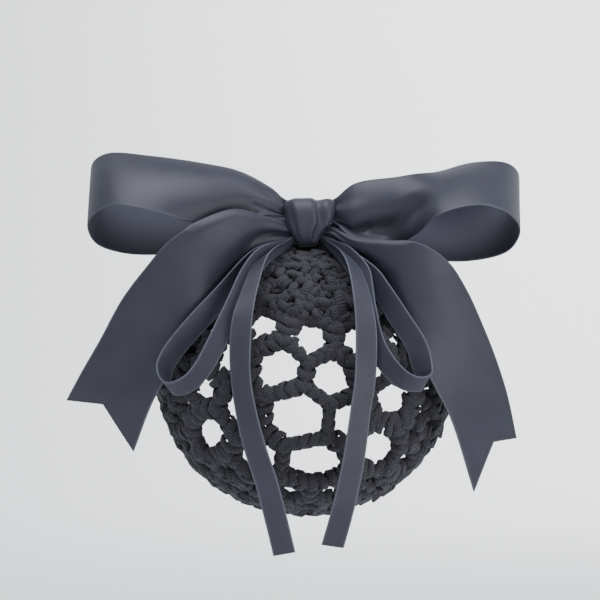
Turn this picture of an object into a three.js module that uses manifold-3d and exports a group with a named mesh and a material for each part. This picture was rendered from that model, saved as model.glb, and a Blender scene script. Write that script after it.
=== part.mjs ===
import * as THREE from 'three';
import { mergeVertices } from 'three/addons/utils/BufferGeometryUtils.js';
import Module from 'manifold-3d';

// A crocheted bun net under a satin bow on a hair clip, in millimetres.
// +Z is up, the bow faces -Y and the head lies on the +Y side.
// The origin is the middle of the clip, on the face that lies on the hair.

const wideRibbon = { width: 25, wall: 1 };
const narrowRibbon = { width: 6.35, wall: 1 };
const wideLoopMesh = { strips: 4, steps: 3 };
const wideTailMesh = { strips: 7, steps: 2 };
const narrowMesh = { strips: 2, steps: 2 };
// Share of its length at which a ribbon shows which of its faces is the front one.
const facingPlace = 0.3;
const tailNotch = { deep: 6, across: 0.43 };
const pieceGap = 0.3;

const clip = {
  length: 70,
  height: 8,
  plate: 1.2,
  arm: 1.4,
  bend: 110,
  hairGap: 8.2,
  endRound: 2,
  endWall: 1.5,
  squareness: 4,
  stations: 12,
};

const net = {
  centre: { x: -1.2, z: -50.2 },
  halfWide: 46.3,
  halfTall: 42,
  depth: 37.5,
  wall: 3,
  around: 40,
  rows: 8,
};
const netEdge = { halfWide: 44.7, halfTall: 42.4, centreZ: -48.5, thick: 3.2, around: 56, sides: 6 };
const sideHoles = { count: 18, latitude: 0.84, wide: 7, tall: 5, start: 10 };
const holeSides = 8;
const holeSquareness = 2.6;
const plugLength = 24;

const satin = { color: 0x484a58, roughness: 0.45, metalness: 0 };
const satinNarrow = { color: 0x4b4e5d, roughness: 0.45, metalness: 0 };
const yarn = { color: 0x3c3e48, roughness: 0.85, metalness: 0 };
const steel = { color: 0x9a9ca0, roughness: 0.35, metalness: 1 };

// Ribbon tables: a row for each section along the ribbon, starting at the knot.
// near and far are the two edges of the ribbon there, share is how much of its
// full width is spread out, and crown is how far its middle stands proud.

const wideLoopLeft = [
  { near: [-8.0, -13, 0.9], far: [-8.0, -11, 6.6], share: 0.24, crown: 0.5 },
  { near: [-14.3, -18, 1.2], far: [-12.0, -10, 10.3], share: 0.48, crown: 1.5 },
  { near: [-22.4, -19.5, -0.4], far: [-21.3, -9, 14.4], share: 0.73, crown: 4.5 },
  { near: [-32.7, -27.5, -0.7], far: [-33.7, -11.2, 16.9], share: 0.96, crown: 2.5 },
  { near: [-47.6, -31, 2.2], far: [-49.1, -12, 19.5], share: 1, crown: 0 },
  { near: [-59.9, -28, 3.9], far: [-62.2, -10, 20.4], share: 1, crown: 0 },
  { near: [-67.5, -19, -1.2], far: [-68.0, -2, 18.0], share: 1, crown: 0 },
  { near: [-65.6, -13, -7.1], far: [-67.4, 4, 10.2], share: 1, crown: 0 },
  { near: [-58.3, -12, -9.9], far: [-60.5, 6, 6.1], share: 1, crown: 0 },
  { near: [-47.5, -12, -10.6], far: [-48.8, 6, 4.5], share: 1, crown: 0 },
  { near: [-33.7, -11, -9.2], far: [-34.4, 3.5, 7.0], share: 0.88, crown: 0 },
  { near: [-19.8, -8, -4.8], far: [-20.1, -1, 7.4], share: 0.56, crown: 0 },
  { near: [-8.1, -5, -1.6], far: [-8.1, -3, 5.5], share: 0.3, crown: 0 },
];

const wideLoopRight = [
  { near: [8.3, -13, -1.2], far: [8.3, -11, 6.6], share: 0.32, crown: 0.5 },
  { near: [13.6, -18, -5.2], far: [14.3, -10.2, 11.0], share: 0.725, crown: 2.5 },
  { near: [26.0, -15.5, -6.2], far: [26.8, -9.3, 13.5], share: 0.83, crown: 6 },
  { near: [32.5, -21, -4.6], far: [33.3, -9.2, 14.1], share: 0.885, crown: 4.5 },
  { near: [39.5, -30.8, 1.2], far: [39.6, -9, 14.6], share: 1, crown: 1.5 },
  { near: [51.3, -30, 3.9], far: [50.8, -8.5, 17.0], share: 1, crown: 0 },
  { near: [60.1, -26, 1.6], far: [61.5, -7, 18.1], share: 1, crown: 0 },
  { near: [64.6, -18, -3.6], far: [66.1, -1, 14.3], share: 1, crown: 0 },
  { near: [62.1, -13, -9.0], far: [65.2, 4, 8.3], share: 1, crown: 0 },
  { near: [56.6, -12, -11.4], far: [58.5, 5.9, 6.4], share: 1, crown: 2.5 },
  { near: [43.4, -12, -12.6], far: [45.0, 4.4, 6.2], share: 0.98, crown: 4.5 },
  { near: [31.4, -11, -9.8], far: [32.2, 2.5, 7.6], share: 0.86, crown: 2.5 },
  { near: [19.1, -8, -4.8], far: [19.4, -1, 7.1], share: 0.55, crown: 1 },
  { near: [8.4, -5, -1.6], far: [8.4, -3, 5.5], share: 0.3, crown: 0 },
];

const wideTailLeft = [
  { near: [-7.3, -14.4, -0.6], far: [-6.1, -14.0, -6.4], share: 0.235, crown: 0.3 },
  { near: [-14.3, -20.5, 1.4], far: [-10.6, -16.8, -7.2], share: 0.4, crown: 0.5 },
  { near: [-22.1, -26.5, 2.4], far: [-14.7, -18.9, -9.1], share: 0.625, crown: 1.5 },
  { near: [-32.6, -31.5, -1.6], far: [-20.0, -21.5, -13.5], share: 0.8, crown: 2.5 },
  { near: [-41.6, -31, -7.0], far: [-26.3, -23.5, -20.8], share: 0.88, crown: 2.5 },
  { near: [-49.1, -27.5, -15.1], far: [-31.4, -26, -27.7], share: 0.92, crown: 2 },
  { near: [-56.7, -23, -24.7], far: [-36.8, -26, -35.6], share: 0.96, crown: 1 },
  { near: [-63.8, -19.5, -37.2], far: [-42.0, -26, -45.2], share: 1, crown: 0.5 },
  { near: [-69.5, -17.5, -46.8], far: [-46.9, -25, -54.9], share: 1, crown: 0 },
  { near: [-74.2, -17, -55.5], far: [-53.2, -23, -70.7], share: 1.06, crown: 0 },
];

const wideTailRight = [
  { near: [7.1, -14.4, -2.3], far: [5.9, -14.0, -6.4], share: 0.17, crown: 0.3 },
  { near: [14.0, -21.5, -6.2], far: [11.4, -17.2, -11.0], share: 0.28, crown: 0.5 },
  { near: [23.5, -27.5, -7.2], far: [17.2, -20.2, -15.0], share: 0.48, crown: 1.5 },
  { near: [33.0, -31, -7.8], far: [22.1, -22.9, -19.0], share: 0.7, crown: 2.5 },
  { near: [41.5, -28.5, -13.0], far: [26.3, -26, -27.7], share: 0.86, crown: 2.5 },
  { near: [47.7, -23, -21.4], far: [29.9, -27, -34.3], share: 0.92, crown: 2 },
  { near: [53.3, -18, -32.7], far: [34.1, -27, -42.2], share: 0.96, crown: 1 },
  { near: [58.0, -14, -43.8], far: [38.6, -27, -51.2], share: 1, crown: 0.5 },
  { near: [61.7, -11, -55.0], far: [43.5, -26, -60.6], share: 1, crown: 0 },
  { near: [64.4, -10, -67.6], far: [49.9, -25, -82.7], share: 1.03, crown: 0 },
];

const narrowLoopLeft = [
  { near: [-4.5, -14.6, -7.0], far: [-3.3, -12.8, -9.2], share: 0.45, crown: 0 },
  { near: [-14.3, -22.5, -7.6], far: [-12.5, -19, -12.1], share: 0.9, crown: 0 },
  { near: [-18.8, -25.5, -11.0], far: [-16.8, -21.5, -16.1], share: 1, crown: 0 },
  { near: [-28.5, -29, -21.7], far: [-25.0, -27, -25.6], share: 1, crown: 0 },
  { near: [-35.3, -30.5, -28.9], far: [-30.9, -29, -32.2], share: 1, crown: 0 },
  { near: [-43.4, -31.5, -39.0], far: [-38.6, -29, -41.5], share: 1, crown: 0 },
  { near: [-45.4, -34, -44.0], far: [-41.0, -30, -46.5], share: 1, crown: 0 },
  { near: [-44.0, -38, -48.0], far: [-41.1, -32.5, -51.8], share: 1, crown: 0 },
  { near: [-41.4, -41, -49.0], far: [-39.2, -36, -53.4], share: 1, crown: 0 },
  { near: [-36.9, -42, -47.2], far: [-34.5, -38, -51.8], share: 1, crown: 0 },
  { near: [-33.3, -41, -42.9], far: [-29.8, -37.5, -48.0], share: 1, crown: 0 },
  { near: [-30.0, -39, -36.5], far: [-26.0, -36.5, -41.5], share: 1, crown: 0 },
  { near: [-24.9, -35, -25.7], far: [-21.4, -34, -31.8], share: 1, crown: 0 },
  { near: [-19.6, -30, -14.4], far: [-16.2, -27.5, -19.6], share: 1, crown: 0 },
  { near: [-14.9, -26, -8.6], far: [-11.8, -22.8, -13.1], share: 0.9, crown: 0 },
  { near: [-4.2, -16.2, -7.2], far: [-2.8, -14.4, -9.4], share: 0.45, crown: 0 },
];

const narrowLoopRight = [
  { near: [4.5, -14.6, -7.0], far: [3.3, -12.8, -9.2], share: 0.45, crown: 0 },
  { near: [12.5, -22.5, -9.2], far: [10.2, -18, -13.1], share: 1, crown: 0 },
  { near: [20.6, -27.5, -15.4], far: [16.9, -25, -19.6], share: 1, crown: 0 },
  { near: [23.9, -29.5, -19.9], far: [19.9, -27, -24.1], share: 1, crown: 0 },
  { near: [29.6, -31, -28.5], far: [24.6, -29, -31.9], share: 1, crown: 0 },
  { near: [35.0, -32.5, -37.3], far: [29.3, -31, -39.6], share: 1, crown: 0 },
  { near: [36.6, -35, -44.2], far: [31.3, -32, -46.2], share: 1, crown: 0 },
  { near: [35.8, -39, -46.8], far: [33.5, -34, -51.7], share: 1, crown: 0 },
  { near: [31.7, -42.5, -47.2], far: [29.1, -38, -52.4], share: 1, crown: 0 },
  { near: [27.9, -43, -45.0], far: [24.9, -39.5, -50.0], share: 1, crown: 0 },
  { near: [22.6, -39, -37.6], far: [18.5, -36.5, -41.7], share: 1, crown: 0 },
  { near: [19.9, -35, -27.1], far: [14.7, -33.5, -30.3], share: 1, crown: 0 },
  { near: [19.2, -32, -21.7], far: [14.2, -30.5, -24.4], share: 1, crown: 0 },
  { near: [18.0, -28.5, -15.1], far: [13.2, -26.5, -17.8], share: 1, crown: 0 },
  { near: [12.5, -25.3, -9.5], far: [9.4, -22.5, -13.5], share: 0.9, crown: 0 },
  { near: [4.2, -16.2, -7.2], far: [2.8, -14.4, -9.4], share: 0.45, crown: 0 },
];

const narrowTailLeft = [
  { near: [-2.2, -17.2, -8.6], far: [-4.4, -17.8, -7.4], share: 0.36, crown: 0 },
  { near: [-10.3, -26.5, -8.6], far: [-12.5, -26.5, -10.6], share: 0.6, crown: 0 },
  { near: [-12.8, -30, -12.1], far: [-15.8, -30, -14.1], share: 0.8, crown: 0 },
  { near: [-14.7, -34, -18.5], far: [-18.4, -34, -20.9], share: 1, crown: 0 },
  { near: [-16.6, -38, -27.7], far: [-21.9, -37.5, -29.5], share: 1, crown: 0 },
  { near: [-17.4, -39.5, -39.0], far: [-22.6, -38, -39.5], share: 1, crown: 0 },
  { near: [-17.4, -39.5, -47.1], far: [-22.8, -37, -47.8], share: 1, crown: 0 },
  { near: [-15.8, -39.5, -56.8], far: [-21.7, -37.5, -58.5], share: 1, crown: 0 },
  { near: [-13.3, -39, -66.6], far: [-19.4, -38, -68.5], share: 1, crown: 0 },
  { near: [-9.5, -38.5, -78.2], far: [-15.7, -38, -79.7], share: 1, crown: 0 },
  { near: [-6.5, -38, -89.8], far: [-12.8, -38, -91.3], share: 1, crown: 0 },
  { near: [-4.2, -37, -99.5], far: [-10.4, -37, -100.6], share: 1, crown: 0 },
];

const narrowTailRight = [
  { near: [2.2, -18.0, -8.6], far: [4.4, -18.6, -7.4], share: 0.36, crown: 0 },
  { near: [8.9, -27.2, -8.8], far: [11.4, -27.4, -10.6], share: 0.6, crown: 0 },
  { near: [11.2, -30.6, -12.5], far: [14.2, -30.4, -14.6], share: 0.85, crown: 0 },
  { near: [12.5, -34.5, -18.6], far: [16.6, -33.5, -21.1], share: 1, crown: 0 },
  { near: [13.7, -39.5, -29.7], far: [18.1, -38.8, -31.2], share: 1, crown: 0 },
  { near: [13.8, -41, -38.8], far: [19.4, -40, -40.1], share: 1, crown: 0 },
  { near: [13.5, -41.5, -48.0], far: [19.4, -39.5, -49.0], share: 1, crown: 0 },
  { near: [12.3, -41, -56.8], far: [18.3, -38.5, -58.1], share: 1, crown: 0 },
  { near: [10.3, -40, -70.4], far: [16.2, -38.5, -71.4], share: 1, crown: 0 },
  { near: [8.2, -39, -80.8], far: [14.3, -38, -81.5], share: 1, crown: 0 },
  { near: [5.9, -38, -89.8], far: [11.9, -38, -90.7], share: 1, crown: 0 },
  { near: [3.8, -37, -97.3], far: [10.0, -37, -98.2], share: 1, crown: 0 },
];

// The knot from top to bottom: its sides, front and back at each height.
const knotRows = [
  { z: 6.7, left: -6.2, right: 6.9, front: -12.0, back: -3.0 },
  { z: 5.4, left: -7.4, right: 7.8, front: -15.5, back: -1.9 },
  { z: 0.5, left: -7.2, right: 7.4, front: -17.6, back: -1.6 },
  { z: -4.0, left: -6.4, right: 6.2, front: -17.0, back: -1.6 },
  { z: -7.0, left: -4.4, right: 4.4, front: -15.2, back: -1.9 },
  { z: -8.0, left: -3.4, right: 3.6, front: -13.0, back: -3.0 },
];
const knotSides = 20;
const knotSquareness = 3;

// Openings of the net as seen from the front: middle, width and height.
const netHoles = [
  { x: -13.9, z: -31.6, wide: 6.3, tall: 6.9 },
  { x: 0.7, z: -35.7, wide: 7.4, tall: 8.3 },
  { x: 14.0, z: -36.0, wide: 6.0, tall: 6.6 },
  { x: -24.2, z: -42.0, wide: 6.0, tall: 8.4 },
  { x: -9.2, z: -44.9, wide: 11.3, tall: 9.8 },
  { x: 6.6, z: -47.7, wide: 9.2, tall: 10.1 },
  { x: 20.0, z: -44.7, wide: 6.0, tall: 7.8 },
  { x: -31.9, z: -52.1, wide: 4.8, tall: 6.0 },
  { x: -21.8, z: -57.5, wide: 6.0, tall: 9.0 },
  { x: -3.4, z: -60.0, wide: 15.1, tall: 12.8 },
  { x: 11.6, z: -61.0, wide: 7.1, tall: 9.5 },
  { x: 26.1, z: -54.7, wide: 7.8, tall: 9.0 },
  { x: -30.8, z: -65.5, wide: 7.3, tall: 9.5 },
  { x: -15.9, z: -72.4, wide: 10.4, tall: 8.4 },
  { x: 1.8, z: -74.1, wide: 16.0, tall: 9.2 },
  { x: 21.4, z: -70.2, wide: 9.6, tall: 9.8 },
];

const toVector = ([x, y, z]) => new THREE.Vector3(x, y, z);

// Joins a triangle list into one closed mesh, with its faces pointing out.
function closedGeometry(positions, triangles) {
  const geometry = new THREE.BufferGeometry();
  geometry.setAttribute('position', new THREE.Float32BufferAttribute(positions, 3));
  let volume = 0;
  const corner = (index) => new THREE.Vector3().fromArray(positions, index * 3);
  for (let i = 0; i < triangles.length; i += 3) {
    const [a, b, c] = [corner(triangles[i]), corner(triangles[i + 1]), corner(triangles[i + 2])];
    volume += a.dot(b.cross(c));
  }
  geometry.setIndex(volume < 0 ? triangles.slice().reverse() : triangles);
  geometry.computeVertexNormals();
  return geometry;
}

// Ribbon stations: the two edges run through the rows as smooth curves.
function ribbonStations(rows, ribbon, steps) {
  const nearCurve = new THREE.CatmullRomCurve3(rows.map((row) => toVector(row.near)), false, 'centripetal');
  const farCurve = new THREE.CatmullRomCurve3(
    rows.map((row) => {
      const across = toVector(row.far).sub(toVector(row.near)).setLength(ribbon.width * row.share);
      return toVector(row.near).add(across);
    }),
    false,
    'centripetal',
  );
  const count = (rows.length - 1) * steps;
  const stations = [];
  for (let i = 0; i <= count; i += 1) {
    const t = i / count;
    const place = t * (rows.length - 1);
    const row = Math.min(Math.floor(place), rows.length - 2);
    const crown = THREE.MathUtils.lerp(rows[row].crown, rows[row + 1].crown, place - row);
    stations.push({ near: nearCurve.getPoint(t), far: farCurve.getPoint(t), crown });
  }
  return stations;
}

// A ribbon as a wall around its middle surface, with an optional V notch at its free end.
function ribbonGeometry(rows, ribbon, { strips: columns, steps }, notch = { deep: 0, across: 0.5 }) {
  const stations = ribbonStations(rows, ribbon, steps);
  const last = stations.length - 1;
  const apex = Math.round(columns * notch.across);
  const middle = stations.map(({ near, far }) => {
    const points = [];
    for (let j = 0; j <= columns; j += 1) {
      points.push(near.clone().lerp(far, j / columns));
    }
    return points;
  });
  const direction = (grid, i, j) => {
    const along = grid[Math.min(i + 1, last)][j].clone().sub(grid[Math.max(i - 1, 0)][j]);
    const across = grid[i][Math.min(j + 1, columns)].clone().sub(grid[i][Math.max(j - 1, 0)]);
    return { along: along.normalize(), out: along.clone().cross(across).normalize() };
  };
  const faces = middle.map((points, i) => points.map((point, j) => direction(middle, i, j)));
  const front = Math.sign(faces[Math.round(last * facingPlace)][0].out.y) || 1;
  const shaped = middle.map((points, i) => points.map((point, j) => {
    const spread = j / columns;
    const bulge = stations[i].crown * 4 * spread * (1 - spread);
    const depth = notch.deep * Math.max(0, (i - last + steps) / steps);
    const toApex = j <= apex ? j / apex : (columns - j) / (columns - apex);
    return point.clone()
      .addScaledVector(faces[i][j].out, -front * bulge)
      .addScaledVector(faces[i][j].along, -depth * toApex);
  }));

  const positions = [];
  for (const side of [0.5, -0.5]) {
    shaped.forEach((points, i) => points.forEach((point, j) => {
      const { out } = direction(shaped, i, j);
      positions.push(...point.clone().addScaledVector(out, side * ribbon.wall).toArray());
    }));
  }
  const stride = columns + 1;
  const layer = stations.length * stride;
  const at = (side, i, j) => side * layer + i * stride + j;
  const triangles = [];
  const quad = (a, b, c, d) => triangles.push(a, b, c, a, c, d);
  for (let i = 0; i < last; i += 1) {
    for (let j = 0; j < columns; j += 1) {
      quad(at(0, i, j), at(0, i + 1, j), at(0, i + 1, j + 1), at(0, i, j + 1));
      quad(at(1, i, j), at(1, i, j + 1), at(1, i + 1, j + 1), at(1, i + 1, j));
    }
    quad(at(0, i, 0), at(1, i, 0), at(1, i + 1, 0), at(0, i + 1, 0));
    quad(at(0, i, columns), at(0, i + 1, columns), at(1, i + 1, columns), at(1, i, columns));
  }
  for (let j = 0; j < columns; j += 1) {
    quad(at(0, 0, j), at(0, 0, j + 1), at(1, 0, j + 1), at(1, 0, j));
    quad(at(0, last, j), at(1, last, j), at(1, last, j + 1), at(0, last, j + 1));
  }
  return closedGeometry(positions, triangles);
}

// The knot is a stack of rounded oblongs, closed at the top and the bottom.
function knotGeometry() {
  const positions = [];
  const rounded = (value) => Math.sign(value) * Math.abs(value) ** (2 / knotSquareness);
  for (const row of knotRows) {
    for (let k = 0; k < knotSides; k += 1) {
      const turn = (k / knotSides) * Math.PI * 2;
      const x = (row.left + row.right) / 2 + ((row.right - row.left) / 2) * rounded(Math.cos(turn));
      const y = (row.front + row.back) / 2 + ((row.back - row.front) / 2) * rounded(Math.sin(turn));
      positions.push(x, y, row.z);
    }
  }
  const triangles = [];
  const lastRow = (knotRows.length - 1) * knotSides;
  for (let r = 0; r < knotRows.length - 1; r += 1) {
    for (let k = 0; k < knotSides; k += 1) {
      const a = r * knotSides + k;
      const b = r * knotSides + ((k + 1) % knotSides);
      triangles.push(a, b, b + knotSides, a, b + knotSides, a + knotSides);
    }
  }
  for (let k = 1; k < knotSides - 1; k += 1) {
    triangles.push(0, k + 1, k);
    triangles.push(lastRow, lastRow + k, lastRow + k + 1);
  }
  return closedGeometry(positions, triangles);
}

// A point of the bowl: turn runs round the mouth, latitude from the front (0) to the mouth (1).
function bowlPoint(turn, latitude, inset = 0) {
  const angle = latitude * Math.PI / 2;
  return new THREE.Vector3(
    net.centre.x + (net.halfWide - inset) * Math.sin(angle) * Math.cos(turn),
    -(net.depth - inset) * Math.cos(angle),
    net.centre.z + (net.halfTall - inset) * Math.sin(angle) * Math.sin(turn),
  );
}

function bowlNormal(point) {
  return new THREE.Vector3(
    (point.x - net.centre.x) / net.halfWide ** 2,
    point.y / net.depth ** 2,
    (point.z - net.centre.z) / net.halfTall ** 2,
  ).normalize();
}

function bowlGeometry() {
  const positions = [];
  const triangles = [];
  const starts = [];
  for (const inset of [0, net.wall]) {
    starts.push(positions.length / 3);
    positions.push(...bowlPoint(0, 0, inset).toArray());
    for (let row = 1; row <= net.rows; row += 1) {
      for (let k = 0; k < net.around; k += 1) {
        const turn = (k / net.around) * Math.PI * 2;
        positions.push(...bowlPoint(turn, row / net.rows, inset).toArray());
      }
    }
  }
  const at = (side, row, k) => starts[side] + 1 + (row - 1) * net.around + (k % net.around);
  const quad = (a, b, c, d) => triangles.push(a, b, c, a, c, d);
  for (let k = 0; k < net.around; k += 1) {
    triangles.push(starts[0], at(0, 1, k), at(0, 1, k + 1));
    triangles.push(starts[1], at(1, 1, k + 1), at(1, 1, k));
    for (let row = 1; row < net.rows; row += 1) {
      quad(at(0, row, k), at(0, row + 1, k), at(0, row + 1, k + 1), at(0, row, k + 1));
      quad(at(1, row, k), at(1, row, k + 1), at(1, row + 1, k + 1), at(1, row + 1, k));
    }
    quad(at(0, net.rows, k), at(1, net.rows, k), at(1, net.rows, k + 1), at(0, net.rows, k + 1));
  }
  return closedGeometry(positions, triangles);
}

// A plug with a rounded outline, whose axis runs through the wall at a hole.
function holePlug(middle, axis, hole) {
  const outline = new THREE.Shape();
  const rounded = (value) => Math.sign(value) * Math.abs(value) ** (2 / holeSquareness);
  for (let k = 0; k < holeSides; k += 1) {
    const turn = ((k + 0.5) / holeSides) * Math.PI * 2;
    const x = (hole.wide / 2) * rounded(Math.cos(turn));
    const y = (hole.tall / 2) * rounded(Math.sin(turn));
    if (k === 0) outline.moveTo(x, y);
    else outline.lineTo(x, y);
  }
  const plug = new THREE.ExtrudeGeometry(outline, { depth: plugLength, bevelEnabled: false });
  plug.translate(0, 0, -plugLength / 2);
  const up = new THREE.Vector3(0, 0, 1);
  const side = new THREE.Vector3().crossVectors(up, axis).normalize();
  const tall = new THREE.Vector3().crossVectors(axis, side);
  plug.applyMatrix4(new THREE.Matrix4().makeBasis(side, tall, axis).setPosition(middle));
  return plug;
}

const wasm = await Module();
wasm.setup();

function toSolid(geometry) {
  const bare = geometry.clone();
  bare.deleteAttribute('normal');
  bare.deleteAttribute('uv');
  const merged = mergeVertices(bare, 1e-4);
  return new wasm.Manifold(new wasm.Mesh({
    numProp: 3,
    vertProperties: new Float32Array(merged.attributes.position.array),
    triVerts: new Uint32Array(merged.index.array),
  }));
}

function fromSolid(solid) {
  const mesh = solid.getMesh();
  const geometry = new THREE.BufferGeometry();
  geometry.setAttribute('position', new THREE.Float32BufferAttribute(mesh.vertProperties, 3));
  geometry.setIndex(Array.from(mesh.triVerts));
  geometry.computeVertexNormals();
  return geometry;
}

function netGeometry() {
  let solid = toSolid(bowlGeometry());
  const towardsHead = new THREE.Vector3(0, 1, 0);
  for (const hole of netHoles) {
    const acrossX = (hole.x - net.centre.x) / net.halfWide;
    const acrossZ = (hole.z - net.centre.z) / net.halfTall;
    const y = -net.depth * Math.sqrt(1 - acrossX ** 2 - acrossZ ** 2);
    solid = solid.subtract(toSolid(holePlug(new THREE.Vector3(hole.x, y, hole.z), towardsHead, hole)));
  }
  for (let k = 0; k < sideHoles.count; k += 1) {
    const turn = THREE.MathUtils.degToRad(sideHoles.start) + (k / sideHoles.count) * Math.PI * 2;
    const middle = bowlPoint(turn, sideHoles.latitude);
    const inwards = bowlNormal(middle).negate();
    const plug = { wide: sideHoles.tall, tall: sideHoles.wide };
    solid = solid.subtract(toSolid(holePlug(middle, inwards, plug)));
  }
  return fromSolid(solid);
}

// The drawn edge of the net: a ring round the mouth, a little deeper towards the clip.
function netEdgeGeometry() {
  const radius = (netEdge.halfWide + netEdge.halfTall) / 2;
  const ring = new THREE.TorusGeometry(radius, netEdge.thick / 2, netEdge.sides, netEdge.around);
  ring.rotateX(Math.PI / 2);
  ring.scale(netEdge.halfWide / radius, 1, netEdge.halfTall / radius);
  ring.translate(net.centre.x, netEdge.thick / 2 + pieceGap, netEdge.centreZ);
  return ring;
}

// The clip is one closed hoop: a bowed plate under the bow and an arm behind the hair.
function clipGeometry() {
  const half = clip.length / 2;
  const rise = (x, radius) => radius - Math.sqrt(radius ** 2 - x ** 2);
  const { stations } = clip;
  const outline = new THREE.Shape();
  const gap = new THREE.Path();
  const plateBack = (x) => rise(x, clip.bend);
  const hollow = (x) => 1 - (x / (half - clip.endRound)) ** clip.squareness;
  const armFront = (x) => plateBack(x) + clip.hairGap * hollow(x);
  for (let i = 0; i <= stations; i += 1) {
    const x = -half + (i / stations) * clip.length;
    const y = plateBack(x) - clip.plate;
    if (i === 0) outline.moveTo(x, y);
    else outline.lineTo(x, y);
  }
  for (let i = stations; i >= 0; i -= 1) {
    const x = -half + (i / stations) * clip.length;
    outline.lineTo(x, Math.max(armFront(x), plateBack(x)) + clip.arm);
  }
  const inner = half - clip.endRound - clip.endWall;
  for (let i = 0; i <= stations; i += 1) {
    const x = -inner + (i / stations) * inner * 2;
    if (i === 0) gap.moveTo(x, plateBack(x));
    else gap.lineTo(x, plateBack(x));
  }
  for (let i = stations - 1; i > 0; i -= 1) {
    const x = -inner + (i / stations) * inner * 2;
    gap.lineTo(x, armFront(x));
  }
  outline.holes.push(gap);
  const plate = new THREE.ExtrudeGeometry(outline, { depth: clip.height, bevelEnabled: false });
  plate.translate(0, 0, -clip.height / 2);
  return plate;
}

const hairNet = new THREE.Group();

function addPiece(name, geometry, finish) {
  const mesh = new THREE.Mesh(geometry, new THREE.MeshStandardMaterial(finish));
  mesh.name = name;
  hairNet.add(mesh);
}

addPiece('hair_clip', clipGeometry(), steel);
addPiece('knot', knotGeometry(), satin);
addPiece('wide_loop_left', ribbonGeometry(wideLoopLeft, wideRibbon, wideLoopMesh), satin);
addPiece('wide_loop_right', ribbonGeometry(wideLoopRight, wideRibbon, wideLoopMesh), satin);
addPiece('wide_tail_left', ribbonGeometry(wideTailLeft, wideRibbon, wideTailMesh, tailNotch), satin);
addPiece('wide_tail_right', ribbonGeometry(wideTailRight, wideRibbon, wideTailMesh, tailNotch), satin);
addPiece('narrow_loop_left', ribbonGeometry(narrowLoopLeft, narrowRibbon, narrowMesh), satinNarrow);
addPiece('narrow_loop_right', ribbonGeometry(narrowLoopRight, narrowRibbon, narrowMesh), satinNarrow);
addPiece('narrow_tail_left', ribbonGeometry(narrowTailLeft, narrowRibbon, narrowMesh), satinNarrow);
addPiece('narrow_tail_right', ribbonGeometry(narrowTailRight, narrowRibbon, narrowMesh), satinNarrow);
addPiece('net', netGeometry(), yarn);
addPiece('net_edge', netEdgeGeometry(), yarn);

export default hairNet;
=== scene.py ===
import math
import random

import bmesh
import bpy
import numpy as np
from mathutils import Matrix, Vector
from mathutils.geometry import delaunay_2d_cdt


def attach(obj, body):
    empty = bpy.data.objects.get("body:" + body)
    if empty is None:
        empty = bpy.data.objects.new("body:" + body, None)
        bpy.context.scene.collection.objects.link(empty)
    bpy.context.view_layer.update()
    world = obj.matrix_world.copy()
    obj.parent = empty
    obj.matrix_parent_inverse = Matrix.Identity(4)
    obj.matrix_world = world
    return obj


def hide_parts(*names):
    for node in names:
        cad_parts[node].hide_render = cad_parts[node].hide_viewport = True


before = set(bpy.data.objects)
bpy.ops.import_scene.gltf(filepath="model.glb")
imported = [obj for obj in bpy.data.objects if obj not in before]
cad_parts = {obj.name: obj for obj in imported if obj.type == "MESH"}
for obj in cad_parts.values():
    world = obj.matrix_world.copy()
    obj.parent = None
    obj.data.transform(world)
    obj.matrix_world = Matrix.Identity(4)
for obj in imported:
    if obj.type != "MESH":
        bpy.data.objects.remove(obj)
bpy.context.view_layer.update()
mm = 0.001  # the tables and dictionaries below are in millimetres
tiny = 1e-9  # keeps divisions from failing at zero

# Camera, level with the upper part of the net
view = {"place": (-2.7, -620.0, -24.7), "lens": 118.0, "sensor": 36.0}


def addObject(name, data):
    item = bpy.data.objects.new(name, data)
    bpy.context.collection.objects.link(item)
    return item


def makeCamera():
    data = bpy.data.cameras.new("camera")
    data.lens = view["lens"]
    data.sensor_width = view["sensor"]
    camera = addObject("camera", data)
    camera.location = Vector(view["place"]) * mm
    camera.rotation_euler = (math.pi / 2, 0, 0)
    bpy.context.scene.camera = camera


def addNode(tree, kind, inputs=None, **settings):
    node = tree.nodes.new(kind)
    for name, value in settings.items():
        setattr(node, name, value)
    for socket, value in (inputs or {}).items():
        if isinstance(value, bpy.types.NodeSocket):
            tree.links.new(value, node.inputs[socket])
        else:
            node.inputs[socket].default_value = value
    return node


def addMath(tree, operation, first, second, kind="ShaderNodeMath"):
    return addNode(tree, kind, {0: first, 1: second}, operation=operation).outputs[0]


def addVectorMath(tree, operation, first, second):
    return addMath(tree, operation, first, second, "ShaderNodeVectorMath")


def addVector(tree, x, y, z):
    return addNode(tree, "ShaderNodeCombineXYZ", {0: x, 1: y, 2: z}).outputs[0]


def addScaled(tree, place, scale):
    return addNode(tree, "ShaderNodeMapping", {"Vector": place, "Scale": scale}).outputs[0]


def addNoise(tree, place, scale, detail):
    settings = {"Vector": place, "Scale": scale, "Detail": detail}
    return addNode(tree, "ShaderNodeTexNoise", settings).outputs[0]


def addBump(tree, height, strength, distance):
    settings = {"Height": height, "Strength": strength, "Distance": distance}
    return addNode(tree, "ShaderNodeBump", settings).outputs[0]


def addMask(tree, value, span):  # 0 at the start of the span, 1 at its end
    settings = {0: value, 1: span[0], 2: span[1], 3: 0.0, 4: 1.0}
    return addNode(tree, "ShaderNodeMapRange", settings).outputs[0]


def addMix(tree, share, first, second):
    return addNode(tree, "ShaderNodeMix", {0: share, 6: first, 7: second}, data_type="RGBA").outputs[2]


shaderSockets = {
    "colour": "Base Color",
    "roughness": "Roughness",
    "metal": "Metallic",
    "gloss": "Specular IOR Level",
    "anisotropy": "Anisotropic",
    "sheen": "Sheen Weight",
    "sheenRoughness": "Sheen Roughness",
    "sheenTint": "Sheen Tint",
}


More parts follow.
